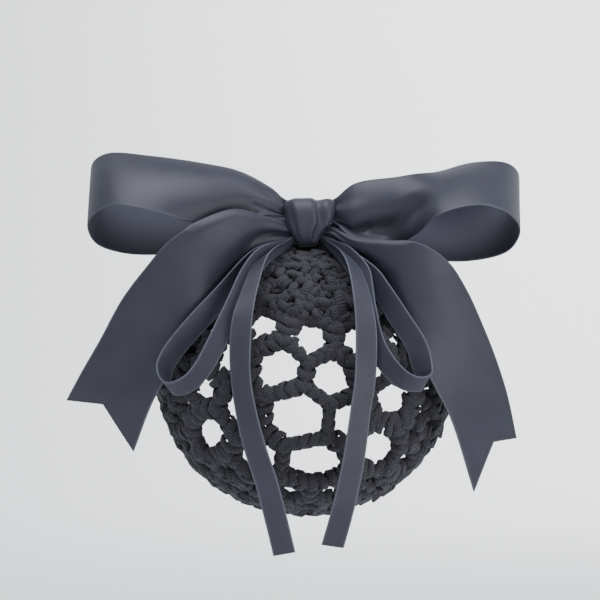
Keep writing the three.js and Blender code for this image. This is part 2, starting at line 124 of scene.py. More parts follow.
def newMaterial(name, look):
    material = bpy.data.materials.new(name)
    material.use_nodes = True
    shader = material.node_tree.nodes["Principled BSDF"]
    for key, socket in shaderSockets.items():
        if key in look:
            shader.inputs[socket].default_value = look[key]
    return material, material.node_tree, shader.inputs


# Satin: threads along the ribbon, a pale painted highlight along both edges, and a duller wrong side whose
# colour partly paints the shade inside the loops
satinLook = {
    "colour": (0.0262, 0.0272, 0.0402, 1),
    "shade": (0.0215, 0.0222, 0.033, 1),
    # colour of the wrong side, matched to the tone of the loop insides where shade falls: partly painted
    # shade
    "inside": (0.0281, 0.0289, 0.0442, 1),
    # pale painted highlight along both edges
    "edgeHighlight": (0.055, 0.059, 0.078, 1),
    "roughness": 0.5,
    "insideRoughness": 0.75,
    "gloss": 0.28,
    "anisotropy": 0.5,
    "sheen": 0.05,
    "sheenRoughness": 0.4,
    "sheenTint": (0.7, 0.75, 0.9, 1),
    "warpScale": (0.25, 7, 1),
    "weftScale": (5, 0.8, 1),
    "cloudScale": 0.09,
    "cloudSpan": (0.3, 0.7),
    "bump": 0.08,
    "bumpDistance": 0.0001,
}
# the narrow ribbon's painted edge highlight is paler, and its wrong side darker with painted shade
narrowSatinLook = dict(satinLook, edgeHighlight=(0.066, 0.071, 0.094, 1), inside=(0.0255, 0.026, 0.0385, 1))


def satinMaterial(name, look):
    material, tree, shader = newMaterial(name, look)
    uv = addNode(tree, "ShaderNodeUVMap", uv_map="ribbonUv").outputs[0]
    threads = addNoise(tree, addScaled(tree, uv, look["warpScale"]), scale=1, detail=3)
    wefts = addNoise(tree, addScaled(tree, uv, look["weftScale"]), scale=1, detail=2)
    weave = addMath(tree, "ADD", threads, wefts)
    bump = addBump(tree, weave, look["bump"], look["bumpDistance"])
    cloud = addMask(tree, addNoise(tree, uv, look["cloudScale"], detail=2), look["cloudSpan"])
    body = addMix(tree, cloud, look["shade"], look["colour"])
    edge, wrong = (
        addNode(tree, "ShaderNodeAttribute", attribute_name=label).outputs["Fac"]
        for label in ("edgeHighlight", "inside"))
    # the wrong side's colour partly paints the shade inside the loops
    sides = addMix(tree, wrong, body, look["inside"])
    # pale painted highlight along the edges
    colour = addMix(tree, edge, sides, look["edgeHighlight"])
    both = {0: wrong, 3: look["roughness"], 4: look["insideRoughness"]}
    dull = addNode(tree, "ShaderNodeMapRange", both).outputs[0]
    tangent = addNode(tree, "ShaderNodeTangent", direction_type="UV_MAP", uv_map="ribbonUv").outputs[0]
    outputs = {"Base Color": colour, "Normal": bump, "Tangent": tangent, "Roughness": dull}
    for socket, output in outputs.items():
        tree.links.new(output, shader[socket])
    return material


# Net yarn: a matte flat tape with fine ribs across it
yarnLook = {
    "colour": (0.0132, 0.012, 0.0182, 1),
    "shade": (0.0105, 0.0107, 0.016, 1),
    "roughness": 0.9,
    "sheen": 0.08,
    "sheenRoughness": 0.5,
    "sheenTint": (0.7, 0.72, 0.85, 1),
    "ribPitch": 0.6,
    "ribDistortion": 1.5,
    "ribDetail": 2,
    "fuzzScale": 2500,
    "mottleScale": 170,
    "mottleSpan": (0.35, 0.65),
    "bump": 0.8,
    "bumpDistance": 0.00025,
}
# darker copy of the yarn for the core: painted shade in the gaps between stitches
coreShadeLook = dict(yarnLook, colour=(0.012, 0.012, 0.017, 1), shade=(0.008, 0.008, 0.011, 1))
waveLength = 0.314  # between two bands of a wave texture of scale 1


def yarnMaterial(name, look):
    material, tree, shader = newMaterial(name, look)
    uv = addNode(tree, "ShaderNodeUVMap", uv_map="tapeUv").outputs[0]
    place = addNode(tree, "ShaderNodeTexCoord").outputs["Object"]
    settings = {
        "Vector": uv,
        "Scale": waveLength / look["ribPitch"],
        "Distortion": look["ribDistortion"],
        "Detail": look["ribDetail"],
        "Detail Scale": look["ribDetail"],
    }
    ribs = addNode(tree, "ShaderNodeTexWave", settings, bands_direction="X").outputs[1]
    height = addMath(tree, "ADD", ribs, addNoise(tree, place, look["fuzzScale"], detail=4))
    bump = addBump(tree, height, look["bump"], look["bumpDistance"])
    tone = addMask(tree, addNoise(tree, place, look["mottleScale"], detail=3), look["mottleSpan"])
    tree.links.new(addMix(tree, tone, look["shade"], look["colour"]), shader["Base Color"])
    tree.links.new(bump, shader["Normal"])
    return material


leastChord = 1e-4  # of a path, where two of its points coincide


def smoothPath(points, places):  # centripetal curve through the points, places run from 0 to 1
    points = np.asarray(points, float)
    count = len(points)
    padded = np.vstack([2 * points[0] - points[1], points, 2 * points[-1] - points[-2]])
    result = []
    for place in places:
        row = min(int(place * (count - 1)), count - 2)
        t = place * (count - 1) - row
        a, b, c, d = padded[row:row + 4]
        chords = [np.linalg.norm(q - p) for p, q in ((a, b), (b, c), (c, d))]
        before, span, after = (max(chord, leastChord) ** 0.5 for chord in chords)
        leave = ((b - a) / before - (c - a) / (before + span) + (c - b) / span) * span
        arrive = ((c - b) / span - (d - b) / (span + after) + (d - c) / after) * span
        bend = 3 * (c - b) - 2 * leave - arrive
        twist = 2 * (b - c) + leave + arrive
        result.append(b + leave * t + bend * t ** 2 + twist * t ** 3)
    return np.array(result)


def unitRows(vectors):
    lengths = np.linalg.norm(vectors, axis=-1, keepdims=True)
    return vectors / np.maximum(lengths, tiny)


def gridNormals(grid):
    return unitRows(np.cross(np.gradient(grid, axis=0), np.gradient(grid, axis=1)))


def reachAlong(path):  # distance from the start at each point
    return np.concatenate([[0], np.cumsum(np.linalg.norm(np.diff(path, axis=0), axis=1))])


def ringFaces(rings, around, closed=False):  # quads between each ring of points and the next
    faces = []
    for i in range(rings if closed else rings - 1):
        for k in range(around):
            j, m = (i + 1) % rings, (k + 1) % around
            faces.append((i * around + k, i * around + m, j * around + m, j * around + k))
    return faces


def newMesh(name, points, edges, faces):
    mesh = bpy.data.meshes.new(name)
    mesh.from_pydata((np.asarray(points) * mm).tolist(), edges, faces)
    return mesh


def newPiece(name, points, faces, material, uvMap=None, uvs=None, attributes=None):
    mesh = newMesh(name, points, [], faces)
    work = bmesh.new()
    work.from_mesh(mesh)
    bmesh.ops.recalc_face_normals(work, faces=work.faces)
    work.to_mesh(mesh)
    work.free()
    if uvMap:
        corners = np.zeros(len(mesh.loops), int)
        mesh.loops.foreach_get("vertex_index", corners)
        layer = mesh.uv_layers.new(name=uvMap)
        layer.data.foreach_set("uv", np.asarray(uvs, float)[corners].ravel())
    for label, values in (attributes or {}).items():
        mesh.attributes.new(label, "FLOAT", "POINT").data.foreach_set("value", np.asarray(values, float))
    mesh.shade_smooth()
    mesh.materials.append(material)
    return addObject(name, mesh)


# Satin ribbons, a wide one and a narrow one
wideRibbon = {
    "width": 25.0,
    "thick": 0.45,
    "steps": 14,
    "columns": 36,
    "edgeStops": (0, 0.012, 0.03),
    "innerFrom": 0.06,
    "pleats": 2,
    "pleatFade": 11,
    "pleatMost": 0.45,
    "pleatTurn": 0.05,
    "leastShare": 0.05,
    # width of the painted edge highlight, and how far from the knot it begins to show
    "highlightWidth": 0.4,
    "lineFrom": 20,
}
narrowRibbon = dict(wideRibbon, width=6.35, thick=0.4, steps=7, columns=10)
narrowRibbon.update(pleats=1, pleatFade=9, pleatMost=0.25, lineFrom=9)
facingPlace = 0.3  # share of the way along where every ribbon's front faces the camera

# A row for each section along the ribbon, starting at the knot: near edge x y z, far edge x y z,
# share of the width spread out, and in the wide ones how far the middle stands proud
wideLoopLeft = [
    (-8, -13, 0.9, -8, -11, 6.6, 0.24, 0.5),
    (-14.3, -18, 1.2, -12, -10, 10.3, 0.48, 1.5),
    (-22.4, -19.5, -0.4, -21.3, -12, 14.4, 0.69, 3.5),
    (-32.7, -27, -0.7, -33.7, -14.5, 16.9, 0.895, 3.2),
    (-47.6, -31, 2.2, -49.1, -14, 19.5, 0.98, 2.2),
    (-59.9, -28, 3.9, -62.2, -10, 20.4, 1, 1),
    (-67.5, -19, -1.2, -68, -2, 18, 1, 0),
    (-65.6, -13, -7.1, -67.4, 4, 10.2, 1, 0),
    (-58.3, -12, -9.9, -60.5, 6, 6.1, 1, 0),
    (-47.5, -12, -10.6, -48.8, 6, 4.5, 1, 0),
    (-33.7, -11, -9.2, -34.4, 3.5, 7, 0.88, 0),
    (-19.8, -8, -4.8, -20.1, -1, 7.4, 0.56, 0),
    (-8.1, -5, -1.6, -8.1, -3, 5.5, 0.3, 0),
]
wideLoopRight = [
    (8.3, -13, -1.2, 8.3, -11, 6.6, 0.32, 0.5),
    (13.6, -18, -6, 14.3, -13, 9.8, 0.72, 1.5),
    (26, -16, -7.6, 26.8, -14.5, 12.6, 0.83, 3.5),
    (32.5, -21.5, -4.6, 33.3, -14, 13.7, 0.81, 3.5),
    (39.5, -30.8, 1.2, 39.6, -12.2, 14.6, 0.93, 1.5),
    (51.3, -30, 3.9, 50.8, -10.5, 17, 1, 1.8),
    (60.1, -26, 1.6, 61.5, -7, 18.1, 1, 0),
    (64.6, -18, -3.6, 66.1, -1, 14.3, 1, 0),
    (62.1, -13, -9, 65.2, 4, 8.3, 1, 0),
    (56.6, -12, -11.4, 58.5, 5.9, 6.4, 1, 2.5),
    (43.4, -12, -12.6, 45, 4.4, 6.2, 0.98, 4.5),
    (31.4, -11, -9.8, 32.2, 2.5, 7.6, 0.86, 2.5),
    (19.1, -8, -4.8, 19.4, -1, 7.1, 0.55, 1),
    (8.4, -5, -1.6, 8.4, -3, 5.5, 0.3, 0),
]
wideTailLeft = [
    (-7.3, -14.4, -0.6, -6.1, -14, -6.4, 0.235, 0.3),
    (-14.3, -20.5, 1.4, -10.6, -16.8, -7.2, 0.4, 0.5),
    (-22.1, -26.5, 2.4, -14.7, -18.9, -9.1, 0.625, 1.5),
    (-32.6, -31.5, -1.6, -20, -21.5, -13.5, 0.8, 2.5),
    (-41.6, -31, -7, -26.3, -23.5, -20.8, 0.88, 2.5),
    (-49.1, -27.5, -15.1, -31.4, -26, -27.7, 0.92, 2),
    (-56.7, -23, -24.7, -36.8, -26, -35.6, 0.96, 1),
    (-63.8, -19.5, -37.2, -42, -26, -45.2, 1, 0.5),
    (-69.5, -17.5, -46.8, -46.9, -25, -54.9, 1, 0),
    (-74.2, -17, -55.5, -53.2, -23, -70.7, 1.06, 0),
]
wideTailRight = [
    (7.1, -14.4, -2.3, 5.9, -14, -6.4, 0.17, 0.3),
    (14, -21.5, -6.2, 11.4, -17.2, -11, 0.28, 0.5),
    (23.5, -27.5, -7.2, 17.2, -20.2, -15, 0.48, 1.5),
    (33, -31, -7.8, 22.1, -22.9, -19, 0.7, 2.5),
    (41.5, -28.5, -13, 26.3, -26, -27.7, 0.86, 2.5),
    (47.7, -23, -21.4, 29.9, -27, -34.3, 0.92, 2),
    (53.3, -18, -32.7, 34.1, -27, -42.2, 0.96, 1),
    (58, -14, -43.8, 38.6, -27, -51.2, 1, 0.5),
    (61.7, -11, -55, 43.5, -26, -60.6, 1, 0),
    (64.4, -10, -67.6, 49.9, -25, -82.7, 1.03, 0),
]
narrowLoopLeft = [
    (-6.2, -14.2, -5.4, -6, -12.8, -7.8, 0.45),
    (-14.3, -21.5, -8, -13.2, -18.5, -12.4, 0.9),
    (-18.8, -25.5, -11, -16.8, -21.5, -16.1, 1),
    (-28.5, -29, -21.7, -25, -27, -25.6, 1),
    (-35.3, -30.5, -28.9, -30.9, -29, -32.2, 1),
    (-43.4, -31.5, -39, -38.6, -29, -41.5, 1),
    (-45.4, -34, -44, -41, -30, -46.5, 1),
    (-44, -38, -48, -41.1, -32.5, -51.8, 1),
    (-41.4, -41, -49, -39.2, -36, -53.4, 1),
    (-36.9, -42, -47.2, -34.5, -38, -51.8, 1),
    (-33.3, -41, -42.9, -29.8, -37.5, -48, 1),
    (-30, -39, -36.5, -26, -36.5, -41.5, 1),
    (-24.9, -35, -25.7, -21.4, -34, -31.8, 1),
    (-19.6, -30, -14.4, -16.2, -27.5, -19.6, 1),
    (-14.9, -25, -8.9, -11.9, -22.5, -13.3, 0.9),
    (-5.8, -15.6, -5.8, -5.6, -14.2, -8.2, 0.45),
]
narrowLoopRight = [
    (5.8, -14.2, -5.6, 5.6, -12.8, -8, 0.45),
    (12.5, -21.5, -9.4, 10.6, -18, -13.4, 1),
    (20.6, -27.5, -15.4, 16.9, -25, -19.6, 1),
    (23.9, -29.5, -19.9, 19.9, -27, -24.1, 1),
    (29.6, -31, -28.5, 24.6, -29, -31.9, 1),
    (35, -32.5, -37.3, 29.3, -31, -39.6, 1),
    (36.6, -35, -44.2, 31.3, -32, -46.2, 1),
    (35.8, -39, -46.8, 33.5, -34, -51.7, 1),
    (31.7, -42.5, -47.2, 29.1, -38, -52.4, 1),
    (27.9, -43, -45, 24.9, -39.5, -50, 1),
    (22.6, -39, -37.6, 18.5, -36.5, -41.7, 1),
    (19.9, -35, -27.1, 14.7, -33.5, -30.3, 1),
    (19.2, -32, -21.7, 14.2, -30.5, -24.4, 1),
    (18, -28.5, -15.1, 13.2, -26.5, -17.8, 1),
    (12.5, -24.5, -8.8, 9.6, -22, -13, 0.9),
    (5.4, -15.6, -5.6, 5, -14.2, -8, 0.45),
]
narrowTailLeft = [
    (-5.2, -15.5, -5.8, -6.8, -15.8, -7.4, 0.36),
    (-10.3, -23.5, -8.8, -12.5, -23.5, -10.8, 0.6),
    (-12.8, -30, -12.1, -15.8, -30, -14.1, 0.8),
    (-14.7, -34, -18.5, -18.4, -34, -20.9, 1),
    (-16.6, -38, -27.7, -21.9, -37.5, -29.5, 1),
    (-17.4, -39.5, -39, -22.6, -38, -39.5, 1),
    (-17.4, -39.5, -47.1, -22.8, -37, -47.8, 1),
    (-15.8, -39.5, -56.8, -21.7, -37.5, -58.5, 1),
    (-13.3, -39, -66.6, -19.4, -38, -68.5, 1),
    (-9.5, -38.5, -78.2, -15.7, -38, -79.7, 1),
    (-6.5, -38, -89.8, -12.8, -38, -91.3, 1),
    (-4.2, -37, -99.5, -10.4, -37, -100.6, 1),
]
narrowTailRight = [
    (5, -15.5, -6.2, 6.8, -15.8, -7.6, 0.36),
    (9.2, -24, -9.4, 11.7, -24.4, -11.2, 0.6),
    (11.2, -29.4, -12.9, 14.2, -29.4, -15, 0.85),
    (12.5, -34.5, -18.6, 16.6, -33.5, -21.1, 1),
    (13.7, -39.5, -29.7, 18.1, -38.8, -31.2, 1),
    (13.8, -41, -38.8, 19.4, -40, -40.1, 1),
    (13.5, -41.5, -48, 19.4, -39.5, -49, 1),
    (12.3, -41, -56.8, 18.3, -38.5, -58.1, 1),
    (10.3, -40, -70.4, 16.2, -38.5, -71.4, 1),
    (8.2, -39, -80.8, 14.3, -38, -81.5, 1),
    (5.9, -38, -89.8, 11.9, -38, -90.7, 1),
    (3.8, -37, -97.3, 10, -37, -98.2, 1),
]

# Folds pressed into the wide ones: along and across at both ends of the fold, how deep, how wide
ribbonFolds = {
    "wide_loop_left": [(14, 2.5, 36, -1, 1.2, 4), (4, 3, 13, 7, 0.8, 1)],
    "wide_loop_right": [(12, 4.5, 32, 9, 2.2, 4.5), (5, 2, 15, 6.5, 1.4, 1.2), (7, 1, 20, 0.8, -1.2, 1.5)],
    "wide_tail_left": [(4, -0.5, 30, -1.5, 2.2, 2.4), (6, 16, 26, 20, 1.2, 3)],
    "wide_tail_right": [(4, -0.5, 26, -1.5, 1.6, 2), (6, 14, 22, 18, 0.9, 3)],
}

# The middle of the knot, and how much of its place and spread a ribbon's hidden row keeps
rootSeat = {"middle": (0, -10.5, -1.0), "keep": 0.55, "share": 0.85}


def foldDepth(along, across, folds):
    depth = np.zeros(np.broadcast(along, across).shape)
    for startAlong, startAcross, endAlong, endAcross, deep, wide in folds:
        runAlong = endAlong - startAlong
        runAcross = endAcross - startAcross
        reach = (along - startAlong) * runAlong + (across - startAcross) * runAcross
        t = np.clip(reach / (runAlong ** 2 + runAcross ** 2), 0, 1)
        away = np.hypot(along - startAlong - t * runAlong, across - startAcross - t * runAcross)
        depth += deep * np.exp(-(away / wide) ** 2)
    return depth


def acrossStops(ribbon, notchAcross):
    edge = list(ribbon["edgeStops"])
    inner = ribbon["columns"] - 2 * len(edge) + 1
    middle = np.linspace(ribbon["innerFrom"], 1 - ribbon["innerFrom"], inner)
    stops = sorted(edge + list(middle) + [1 - stop for stop in edge])
    if notchAcross:
        nearest = min(range(len(stops)), key=lambda k: abs(stops[k] - notchAcross))
        stops[nearest] = notchAcross
    return np.array(stops)


def rootRow(row):  # a hidden row that carries a ribbon on into the knot
    keep = rootSeat["keep"]
    near = np.array(row[0:3]) * keep + np.array(rootSeat["middle"]) * (1 - keep)
    far = near + np.array(row[3:6]) - np.array(row[0:3])
    return (*near, *far, row[6] * rootSeat["share"], row[7])


def ribbonPiece(name, rows, ribbon, material, folds, notch, loop):
    table = np.array([rootRow(rows[0])] + rows + ([rootRow(rows[-1])] if loop else []), float)
    near = table[:, 0:3]
    far = near + unitRows(table[:, 3:6] - near) * ribbon["width"] * table[:, 6:7]
    places = np.linspace(0, 1, (len(table) - 1) * ribbon["steps"] + 1)
    crown = smoothPath(table[:, 7:8], places)[:, 0]
    reach = ribbon["steps"] + 1
    window = np.hanning(2 * reach + 1)
    crown = np.convolve(np.pad(crown, reach, mode="edge"), window / window.sum(), "valid")
    nearPath = smoothPath(near, places)
    farPath = smoothPath(far, places)
    stops = acrossStops(ribbon, notch and notch["across"])
    grid = nearPath[:, None] + (farPath - nearPath)[:, None] * stops[None, :, None]
    outward = gridNormals(grid)
    facing = -np.sign(outward[round(len(places) * facingPlace), 0, 1])

    along = reachAlong((nearPath + farPath) / 2)
    spread = np.linalg.norm(farPath - nearPath, axis=1)
    share = np.clip(spread / ribbon["width"], ribbon["leastShare"], 1)
    fromKnot = np.minimum(along, along[-1] - along) if loop else along
    pleat = spread / (math.pi * ribbon["pleats"]) * np.sqrt(1 / share - 1)
    pleat = np.minimum(pleat, ribbon["pleatMost"]) * np.exp(-(fromKnot / ribbon["pleatFade"]) ** 2)
    wave = np.cos(2 * math.pi * ribbon["pleats"] * stops[None, :] + ribbon["pleatTurn"] * along[:, None])
    rise = crown[:, None] * 4 * stops * (1 - stops) + pleat[:, None] * wave
    rise -= foldDepth(along[:, None], stops[None, :] * ribbon["width"], folds)
    grid = grid + outward * (facing * rise)[:, :, None]
    if notch:
        apex = notch["across"]
        lastRow = np.clip((places - 1) * (len(table) - 1) + 1, 0, 1)
        toApex = np.where(stops <= apex, stops / apex, (1 - stops) / (1 - apex))
        forward = unitRows(np.gradient(grid, axis=0))
        grid = grid - forward * (lastRow[:, None] * toApex[None, :] * notch["deep"])[:, :, None]
    outward = gridNormals(grid) * facing
    across = unitRows(np.gradient(grid, axis=1))

    half = ribbon["thick"] / 2
    front = grid + outward * half
    back = grid - outward * half
    nearEdge = grid[:, :1] - across[:, :1] * half
    farEdge = grid[:, -1:] + across[:, -1:] * half
    rings = np.concatenate([front, farEdge, back[:, ::-1], nearEdge], axis=1)
    ringStops = np.concatenate([stops, [1], stops[::-1], [0]])
    stations, around = rings.shape[:2]
    faces = ringFaces(stations, around)
    columns = len(stops)
    for base in (0, (stations - 1) * around):
        for k in range(columns - 1):
            faces.append((base + k, base + k + 1, base + 2 * columns - 1 - k, base + 2 * columns - k))
        faces.append((base + columns - 1, base + columns, base + columns + 1))
        faces.append((base, base + 2 * columns, base + 2 * columns + 1))
    flatPlaces = np.broadcast_arrays(along[:, None], ringStops[None, :] * ribbon["width"])
    uvs = np.stack(flatPlaces, axis=-1).reshape(-1, 2)
    # painted highlight along both edges, kept off near the knot where shade falls
    toEdge = np.minimum(ringStops, 1 - ringStops) * ribbon["width"]
    line = np.clip(1 - toEdge / ribbon["highlightWidth"], 0, 1)
    highlightShown = np.clip(fromKnot / ribbon["lineFrom"] - 1, 0, 1)
    edgeHighlight = line[None, :] * highlightShown[:, None]
    inside = np.tile(np.repeat([0.0, 1.0], [columns + 1, columns + 1]), stations)
    marks = {"edgeHighlight": edgeHighlight.ravel(), "inside": inside}
    piece = newPiece(name, rings.reshape(-1, 3), faces, material, "ribbonUv", uvs, marks)
    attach(piece, "root")
    return piece, along[-1], grid[:, len(stops) // 2] * mm


# Knot: the wide ribbon wound once round the roots, its left part overlapping the right
knot = {
    # from the top: z, left edge x, right edge x
    "rows": [
        (7.2, -7.4, 8.0),
        (4.5, -7.5, 8.0),
        (0.5, -7.1, 7.6),
        (-1.6, -6.7, 6.8),
        (-3.2, -6.2, 5.2),
        (-5, -5.4, 3.9),
        (-7.0, -4.6, 3.2),
        (-8.8, -3.9, 2.6),
    ],
    "front": -17.6,
    "back": -2.0,
    "top": 7.0,
    "bottom": -8.3,
    "squareness": 2.9,
    "thick": 0.45,
    "foldRadius": 0.5,
    "foldSteps": 6,
    "tuckSteps": 7,
    "tuckLeast": 0.02,
    "tuckMost": 0.45,
    "around": 132,
    "across": 97,
    "edgeDrop": 0.3,
    "edgePower": 5,
    "endDrop": 0.35,
    "creaseTop": 6,
    "creaseLong": 13,
    "creaseFade": (0.12, 0.9),
    "creaseBehind": 0.4,
    # each crease: place across (-1 to 1) at the top and at the bottom,
    # how deep, how wide to its left and right
    "creases": [
        (0.3, 0.6, 1.5, 0.14, 0.28),
        (-0.86, -0.55, 0.7, 0.3, 0.16),
        (-0.3, 0.1, 0.15, 0.25, 0.25),
    ],
}


def bandNormals(grid):  # away from the middle of the winding
    wrapped = np.concatenate([grid[-1:], grid, grid[:1]])
    normals = gridNormals(wrapped)[1:-1]
    middle = grid.shape[1] // 2
    spokes = grid[:, middle] - grid[:, middle].mean(axis=0)
    return normals * np.sign(np.sum(normals[:, middle] * spokes, axis=1).mean())


def tuckUnder(grid):  # the ribbon is wider than the knot, so its two edges are folded under
    normals = bandNormals(grid)
    radius = knot["foldRadius"]
    last = grid.shape[1] - 1
    wide = np.linalg.norm(np.diff(grid, axis=1), axis=2).sum(axis=1)
    under = ((wideRibbon["width"] - wide) / 2 - math.pi * radius) / wide
    under = np.clip(under, knot["tuckLeast"], knot["tuckMost"])
    edges = []
    for edge, inward in ((0, 1), (last, -1)):
        start = grid[:, edge]
        outward = unitRows(start - grid[:, edge + inward])
        columns = []
        for turn in np.linspace(0, math.pi, knot["foldSteps"])[1:]:
            aside = outward * radius * math.sin(turn)
            down = normals[:, edge] * radius * (1 - math.cos(turn))
            columns.append(start + aside - down)
        for share in np.linspace(0, 1, knot["tuckSteps"])[1:]:
            column = []
            for i in range(len(grid)):
                at = edge + inward * under[i] * share * last
                low = int(min(max(math.floor(at), 0), last - 1))
                mix = at - low
                spot = grid[i, low] * (1 - mix) + grid[i, low + 1] * mix
                down = normals[i, low] * (1 - mix) + normals[i, low + 1] * mix
                column.append(spot - down * 2 * radius)
            columns.append(np.array(column))
        edges.append(np.stack(columns, axis=1))
    return np.concatenate([edges[0][:, ::-1], grid, edges[1]], axis=1)


def knotPiece(material):
    table = np.array(knot["rows"])[::-1]
    angles = np.linspace(0, 2 * math.pi, knot["around"], endpoint=False)
    power = 2 / knot["squareness"]
    forward, up = (np.sign(wave) * np.abs(wave) ** power for wave in (np.cos(angles), np.sin(angles)))
    ends = np.array([[knot["front"], knot["bottom"]], [knot["back"], knot["top"]]])
    middle = ends.mean(axis=0)
    half = (ends[1] - ends[0]) / 2
    section = np.stack([-forward * half[0], up * half[1]], axis=1)
    left, right = (np.interp(middle[1] + section[:, 1], table[:, 0], table[:, side]) for side in (1, 2))
    place = np.linspace(-1, 1, knot["across"])
    reach = 1 - knot["edgeDrop"] * np.abs(place) ** knot["edgePower"]
    fadeFrom, fadeOver = knot["creaseFade"]
    points = []
    for i in range(len(angles)):
        down = np.clip((knot["creaseTop"] - middle[1] - section[i, 1]) / knot["creaseLong"], 0, 1)
        shown = math.sin(math.pi * min(1, fadeFrom + fadeOver * down)) ** 0.5
        fade = shown if forward[i] > 0 else knot["creaseBehind"]
        depth = np.zeros(len(place))
        for atTop, atBottom, deep, leftWide, rightWide in knot["creases"]:
            offset = place - (atTop + (atBottom - atTop) * down)
            depth += deep * fade * np.exp(-(offset / np.where(offset < 0, leftWide, rightWide)) ** 2)
        size = np.linalg.norm(section[i])
        scaleY = reach * (1 - depth / size)
        scaleZ = (1 - knot["endDrop"] * (1 - reach)) * (1 - depth / size)
        x = (left[i] + right[i]) / 2 + (right[i] - left[i]) / 2 * place
        y = middle[0] + section[i, 0] * scaleY
        z = middle[1] + section[i, 1] * scaleZ
        points.append(np.stack([x, y, z], axis=1))
    band = tuckUnder(np.array(points))
    around, across = band.shape[:2]
    inner = band - bandNormals(band) * knot["thick"]
    points = np.concatenate([band, inner]).reshape(-1, 3)
    shell = around * across
    faces = []
    for i in range(around):
        j = (i + 1) % around
        for k in range(across - 1):
            quad = (i * across + k, j * across + k, j * across + k + 1, i * across + k + 1)
            faces.append(quad)
            faces.append(tuple(shell + n for n in quad[::-1]))
        for k in (0, across - 1):
            faces.append((i * across + k, j * across + k, shell + j * across + k, shell + i * across + k))
    arc = reachAlong(section)
    steps = np.linalg.norm(np.diff(band, axis=1), axis=2).mean(axis=0)
    wide = np.concatenate([[0], np.cumsum(steps)])
    uvs = np.tile(np.stack([np.repeat(arc, across), np.tile(wide, around)], axis=1), (2, 1))
    marks = {"edgeHighlight": np.zeros(len(points)), "inside": np.repeat([0.0, 1.0], shell)}
    piece = newPiece("knot_wrap", points, faces, material, "ribbonUv", uvs, marks)
    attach(piece, "root")
    return piece, arc[-1] + np.linalg.norm(section[0] - section[-1])


# Net, laid out on a flat chart of its bowl and then folded round it
net = {
    "centre": (-1.2, 0.0, -50.2),
    "half": (46.3, 37.5, 42.0),
    "frontReach": 0.9999,
    # along the bowl from its front to its rim
    "quarter": 66.0,
    "sink": 1.5,
    "rimSink": 1.3,
    "rimFrom": 0.8,
    "strand": 4.3,
    "spreadAt": 5.4,
    "smallHole": 0.5,
    "fillHole": 1.5,
    "denseAbove": -29.5,
    "denseStrand": 4.6,
    "lump": 2.8,
    # rings of openings near the rim: latitude, how many, start angle, radius
    "rings": [(0.84, 18, 10, 2.6), (1.06, 36, 5, 1.2)],
    "seed": 5,
    "tries": 12000,
    "settleTurns": 60,
    "settleShare": 0.3,
    "mergeWithin": 1e-5,
    "crochetSeeds": {"open": 11, "side": 17, "close": 23, "rim": 3},
    # shares of the quarter within which a strand has to start, and within which it is kept
    "startsWithin": 1.01,
    "endsWithin": 1.03,
    "strandPieces": 4,
    "leastSpread": 0.75,
    "mostSpread": 1.4,
    # height on the chart below which the strands sink in towards the rim
    "sinkBelow": 0.6,
}
# Openings seen from the front: middle x and z, width, height
netHoles = [
    (-13.9, -31.6, 6.3, 6.9),
    (0.7, -35.7, 7.4, 8.3),
    (14, -36, 6, 6.6),
    (-24.2, -42, 6, 8.4),
    (-9.2, -44.9, 11.3, 9.8),
    (6.6, -47.7, 9.2, 10.1),
    (20, -44.7, 6, 7.8),
    (-31.9, -52.1, 4.8, 6),
    (-21.8, -57.5, 6, 9),
    (-3.4, -60, 15.1, 12.8),
    (11.6, -61, 7.1, 9.5),
    (26.1, -54.7, 7.8, 9),
    (-30.8, -65.5, 7.3, 9.5),
    (-15.9, -72.4, 10.4, 8.4),
    (1.8, -74.1, 16, 9.2),
    (21.4, -70.2, 9.6, 9.8),
    (30.5, -73.9, 4.6, 4),
    (-5.4, -83.6, 6, 3.2),
    (6.2, -83.8, 6, 3.2),
]


def unfold(x, z):  # front view to chart
    across = (x - net["centre"][0]) / net["half"][0]
    up = (z - net["centre"][2]) / net["half"][2]
    reach = min(math.hypot(across, up), net["frontReach"])
    latitude = math.asin(reach) * 2 / math.pi
    return np.array([across, up]) / max(reach, tiny) * latitude * net["quarter"]


def foldUp(point, sink):  # chart to the bowl
    reach = math.hypot(*point)
    beyond = max(0, reach - net["quarter"])
    angle = (reach - beyond) / net["quarter"] * math.pi / 2
    turn = math.atan2(point[1], point[0])
    return np.array([
        net["centre"][0] + (net["half"][0] - sink) * math.sin(angle) * math.cos(turn),
        beyond - (net["half"][1] - sink) * math.cos(angle),
        net["centre"][2] + (net["half"][2] - sink) * math.sin(angle) * math.sin(turn),
    ])


def chartHoles():
    holes = []
    step = 0.5
    for x, z, wide, tall in netHoles:
        slopeX = (unfold(x + step, z) - unfold(x - step, z)) / (2 * step)
        slopeZ = (unfold(x, z + step) - unfold(x, z - step)) / (2 * step)
        stretch = np.linalg.inv(np.stack([slopeX, slopeZ], axis=1))
        holes.append((unfold(x, z), np.diag([2 / wide, 2 / tall]) @ stretch))
    for latitude, count, start, size in net["rings"]:
        for k in range(count):
            turn = math.radians(start) + k / count * 2 * math.pi
            middle = np.array([math.cos(turn), math.sin(turn)]) * latitude * net["quarter"]
            holes.append((middle, np.eye(2) / size))
    dice = random.Random(net["seed"])
    for _ in range(net["tries"]):
        reach = net["quarter"] * math.sqrt(dice.random())
        turn = dice.random() * 2 * math.pi
        middle = np.array([math.cos(turn), math.sin(turn)]) * reach
        dense = foldUp(middle, 0)[2] > net["denseAbove"]
        size = net["smallHole"] if dense else net["fillHole"]
        strand = net["denseStrand"] if dense else net["strand"]
        if all(edgeDistance(middle, hole) > size + strand for hole in holes):
            holes.append((middle, np.eye(2) / size))
    return holes


def edgeDistance(point, hole):
    middle, shape = hole
    offset = point - middle
    away = math.hypot(*offset)
    if away < tiny:
        return -1.0
    return away * (1 - 1 / math.hypot(*(shape @ offset)))


